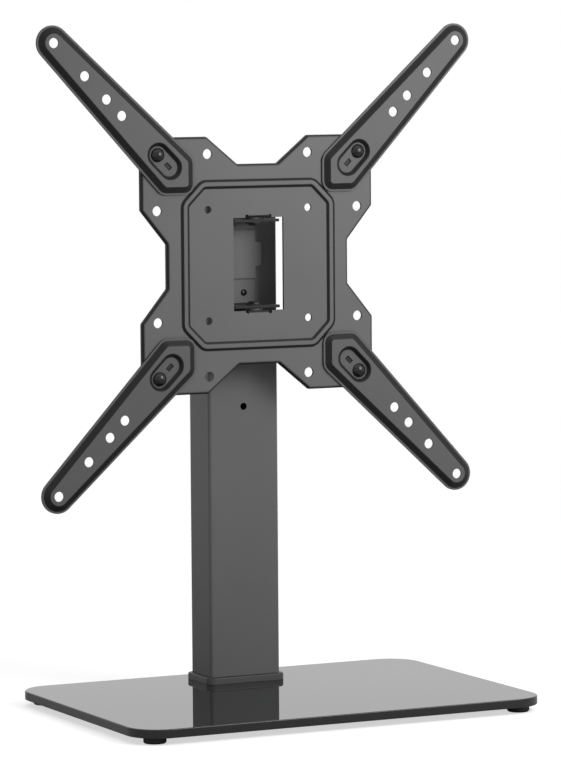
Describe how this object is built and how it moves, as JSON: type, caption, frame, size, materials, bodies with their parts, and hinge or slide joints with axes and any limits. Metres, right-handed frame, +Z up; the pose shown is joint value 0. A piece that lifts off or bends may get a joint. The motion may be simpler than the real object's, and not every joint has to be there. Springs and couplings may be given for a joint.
{
  "type": "table-top tv stand with swivel mount",
  "caption": "Table-top stand for a flat screen: a dark glass base, an upright steel column and a swivelling mount plate with slanting screen arms.",
  "frame": {"origin": "on the table under the middle of the glass base", "axes": "+Z up the column, +X to the viewer's right, and the front of the stand, where the screen is bolted, faces -Y"},
  "size_m": [0.431, 0.28, 0.6145],
  "materials": {
    "dark_glass": "polished dark tempered glass",
    "black_rubber": "matte",
    "painted_steel": "fine-textured powder coat",
    "black_steel": "black oxide",
    "zinc_steel": "zinc plated",
    "black_plastic": "satin",
    "white_nylon": "natural nylon"
  },
  "bodies": {
    "stand": {"glass_base": "dark_glass", "foot_front_left": "black_rubber", "foot_front_right": "black_rubber", "foot_rear_left": "black_rubber", "foot_rear_right": "black_rubber", "underside_plate": "zinc_steel", "underside_gasket": "black_rubber", "glass_bushes": "white_nylon", "column_gasket": "black_rubber", "column_foot_plate": "painted_steel", "base_screws": "black_steel", "column_collar": "black_plastic", "column_tube": "painted_steel", "column_cap": "black_plastic", "column_spacers": "zinc_steel", "bracket_screws": "black_steel", "bracket_screw_washers": "zinc_steel", "swivel_bracket": "painted_steel", "bracket_cover_plate": "painted_steel"},
    "head": {"vesa_plate": "painted_steel", "pivot_bolt_upper": "black_steel", "pivot_bolt_lower": "black_steel", "pivot_bush_upper": "black_plastic", "pivot_bush_lower": "black_plastic", "pivot_steel_washers": "zinc_steel", "pivot_nut_upper": "zinc_steel", "pivot_nut_lower": "zinc_steel", "arm_upper_left": "painted_steel", "arm_upper_right": "painted_steel", "arm_lower_left": "painted_steel", "arm_lower_right": "painted_steel", "arm_bolts": "black_steel", "arm_nuts": "zinc_steel"}
  },
  "joints": [
    {"name": "swivel", "type": "hinge", "parent": "stand", "child": "head", "pos_m": [0, 0.049, 0.399], "axis": [0, 0, 1], "range_deg": [-30, 30]}
  ]
}
